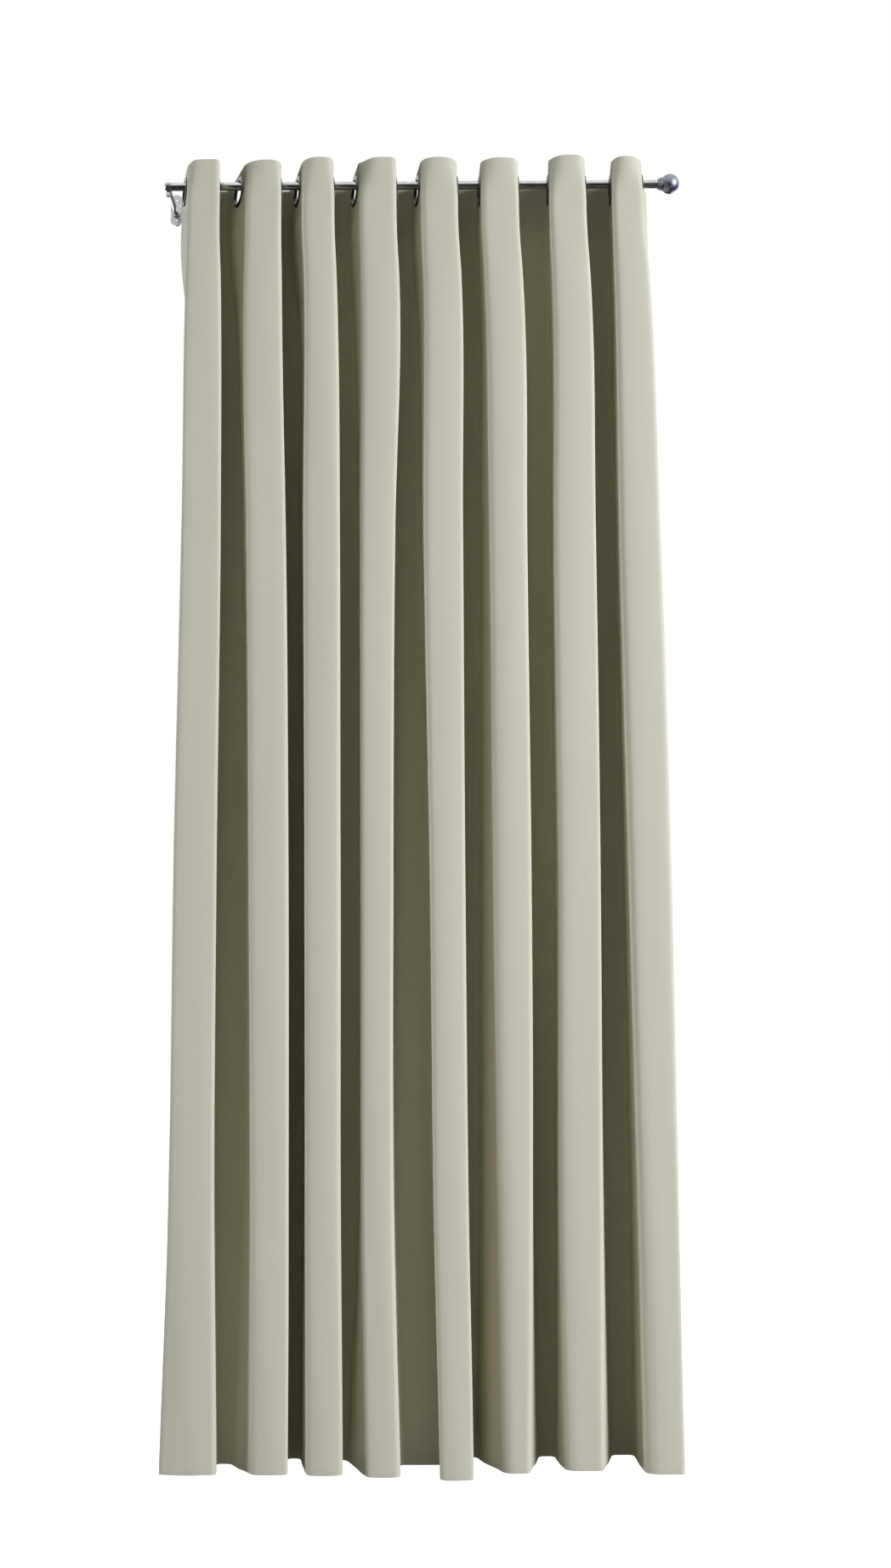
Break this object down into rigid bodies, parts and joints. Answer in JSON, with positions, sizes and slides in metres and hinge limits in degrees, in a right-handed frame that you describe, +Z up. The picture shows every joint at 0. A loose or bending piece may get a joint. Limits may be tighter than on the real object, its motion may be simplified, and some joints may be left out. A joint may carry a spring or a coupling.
{
  "type": "eyelet curtain panel on rod",
  "caption": "Full-length eyelet curtain panel in deep pleats on a round metal rod with wall brackets and a ball finial; draws sideways along the rod.",
  "frame": {"origin": "centre of the four wall screw holes, on the wall's face and level with the rod's axis", "axes": "+X along the rod towards the finial, +Y into the wall, +Z up; the room is on the -Y side"},
  "size_m": [1.0288, 0.1455, 2.4465],
  "materials": {
    "cloth": "matte",
    "eyelet_metal": "gloss",
    "rod_steel": "satin",
    "finial_metal": "satin",
    "bracket_metal": "satin",
    "plain_steel": "satin"
  },
  "bodies": {
    "root": {"rod_tube": "rod_steel", "rod_end_cap": "rod_steel", "finial_insert": "plain_steel", "wall_plate_left": "bracket_metal", "wall_plate_right": "bracket_metal", "bracket_arm_left": "bracket_metal", "bracket_arm_right": "bracket_metal", "eyelet_16": "eyelet_metal", "cloth_wall_16": "cloth", "cloth_front_fold_8": "cloth"},
    "glide_15": {"eyelet_15": "eyelet_metal", "cloth_wall_15": "cloth", "cloth_back_fold_7": "cloth"},
    "glide_14": {"eyelet_14": "eyelet_metal", "cloth_wall_14": "cloth", "cloth_front_fold_7": "cloth"},
    "glide_13": {"eyelet_13": "eyelet_metal", "cloth_wall_13": "cloth", "cloth_back_fold_6": "cloth"},
    "glide_12": {"eyelet_12": "eyelet_metal", "cloth_wall_12": "cloth", "cloth_front_fold_6": "cloth"},
    "glide_11": {"eyelet_11": "eyelet_metal", "cloth_wall_11": "cloth", "cloth_back_fold_5": "cloth"},
    "glide_10": {"eyelet_10": "eyelet_metal", "cloth_wall_10": "cloth", "cloth_front_fold_5": "cloth"},
    "glide_09": {"eyelet_09": "eyelet_metal", "cloth_wall_09": "cloth", "cloth_back_fold_4": "cloth"},
    "glide_08": {"eyelet_08": "eyelet_metal", "cloth_wall_08": "cloth", "cloth_front_fold_4": "cloth"},
    "glide_07": {"eyelet_07": "eyelet_metal", "cloth_wall_07": "cloth", "cloth_back_fold_3": "cloth"},
    "glide_06": {"eyelet_06": "eyelet_metal", "cloth_wall_06": "cloth", "cloth_front_fold_3": "cloth"},
    "glide_05": {"eyelet_05": "eyelet_metal", "cloth_wall_05": "cloth", "cloth_back_fold_2": "cloth"},
    "glide_04": {"eyelet_04": "eyelet_metal", "cloth_wall_04": "cloth", "cloth_front_fold_2": "cloth"},
    "glide_03": {"eyelet_03": "eyelet_metal", "cloth_wall_03": "cloth", "cloth_back_fold_1": "cloth"},
    "glide_02": {"eyelet_02": "eyelet_metal", "cloth_wall_02": "cloth", "cloth_front_fold_1": "cloth"},
    "glide_01": {"eyelet_01": "eyelet_metal", "cloth_wall_01": "cloth"},
    "finial": {"finial_ball": "finial_metal", "finial_collar": "finial_metal"},
    "screw_left": {"set_screw_left": "plain_steel"},
    "screw_right": {"set_screw_right": "plain_steel"}
  },
  "joints": [
    {"name": "draw_15", "type": "slide", "parent": "root", "child": "glide_15", "axis": [1, 0, 0], "range_m": [0, 0.029], "deforming": ["cloth_front_fold_8"]},
    {"name": "draw_14", "type": "slide", "parent": "glide_15", "child": "glide_14", "axis": [1, 0, 0], "range_m": [0, 0.02831], "deforming": ["cloth_back_fold_7"]},
    {"name": "draw_13", "type": "slide", "parent": "glide_14", "child": "glide_13", "axis": [1, 0, 0], "range_m": [0, 0.03389], "deforming": ["cloth_front_fold_7"]},
    {"name": "draw_12", "type": "slide", "parent": "glide_13", "child": "glide_12", "axis": [1, 0, 0], "range_m": [0, 0.03315], "deforming": ["cloth_back_fold_6"]},
    {"name": "draw_11", "type": "slide", "parent": "glide_12", "child": "glide_11", "axis": [1, 0, 0], "range_m": [0, 0.03555], "deforming": ["cloth_front_fold_6"]},
    {"name": "draw_10", "type": "slide", "parent": "glide_11", "child": "glide_10", "axis": [1, 0, 0], "range_m": [0, 0.02528], "deforming": ["cloth_back_fold_5"]},
    {"name": "draw_09", "type": "slide", "parent": "glide_10", "child": "glide_09", "axis": [1, 0, 0], "range_m": [0, 0.03692], "deforming": ["cloth_front_fold_5"]},
    {"name": "draw_08", "type": "slide", "parent": "glide_09", "child": "glide_08", "axis": [1, 0, 0], "range_m": [0, 0.0243], "deforming": ["cloth_back_fold_4"]},
    {"name": "draw_07", "type": "slide", "parent": "glide_08", "child": "glide_07", "axis": [1, 0, 0], "range_m": [0, 0.0379], "deforming": ["cloth_front_fold_4"]},
    {"name": "draw_06", "type": "slide", "parent": "glide_07", "child": "glide_06", "axis": [1, 0, 0], "range_m": [0, 0.02445], "deforming": ["cloth_back_fold_3"]},
    {"name": "draw_05", "type": "slide", "parent": "glide_06", "child": "glide_05", "axis": [1, 0, 0], "range_m": [0, 0.03275], "deforming": ["cloth_front_fold_3"]},
    {"name": "draw_04", "type": "slide", "parent": "glide_05", "child": "glide_04", "axis": [1, 0, 0], "range_m": [0, 0.01997], "deforming": ["cloth_back_fold_2"]},
    {"name": "draw_03", "type": "slide", "parent": "glide_04", "child": "glide_03", "axis": [1, 0, 0], "range_m": [0, 0.03873], "deforming": ["cloth_front_fold_2"]},
    {"name": "draw_02", "type": "slide", "parent": "glide_03", "child": "glide_02", "axis": [1, 0, 0], "range_m": [0, 0.02301], "deforming": ["cloth_back_fold_1"]},
    {"name": "draw_01", "type": "slide", "parent": "glide_02", "child": "glide_01", "axis": [1, 0, 0], "range_m": [0, 0.03069], "deforming": ["cloth_front_fold_1"]},
    {"name": "finial_turn", "type": "hinge", "parent": "root", "child": "finial", "pos_m": [0.51, -0.09, 0], "axis": [1, 0, 0], "continuous": true},
    {"name": "set_screw_turn_left", "type": "hinge", "parent": "root", "child": "screw_left", "pos_m": [-0.4635, -0.09, -0.014], "axis": [0, 0, 1], "continuous": true},
    {"name": "set_screw_turn_right", "type": "hinge", "parent": "root", "child": "screw_right", "pos_m": [0.4635, -0.09, -0.014], "axis": [0, 0, 1], "continuous": true}
  ],
  "couplings": [
    {"joint": "draw_14", "follows": "draw_15", "ratio": 0.97281},
    {"joint": "draw_13", "follows": "draw_15", "ratio": 1.1651},
    {"joint": "draw_12", "follows": "draw_15", "ratio": 1.1396},
    {"joint": "draw_11", "follows": "draw_15", "ratio": 1.2225},
    {"joint": "draw_10", "follows": "draw_15", "ratio": 0.86841},
    {"joint": "draw_09", "follows": "draw_15", "ratio": 1.2695},
    {"joint": "draw_08", "follows": "draw_15", "ratio": 0.8346},
    {"joint": "draw_07", "follows": "draw_15", "ratio": 1.3033},
    {"joint": "draw_06", "follows": "draw_15", "ratio": 0.83949},
    {"joint": "draw_05", "follows": "draw_15", "ratio": 1.126},
    {"joint": "draw_04", "follows": "draw_15", "ratio": 0.68511},
    {"joint": "draw_03", "follows": "draw_15", "ratio": 1.3321},
    {"joint": "draw_02", "follows": "draw_15", "ratio": 0.7901},
    {"joint": "draw_01", "follows": "draw_15", "ratio": 1.0547}
  ]
}
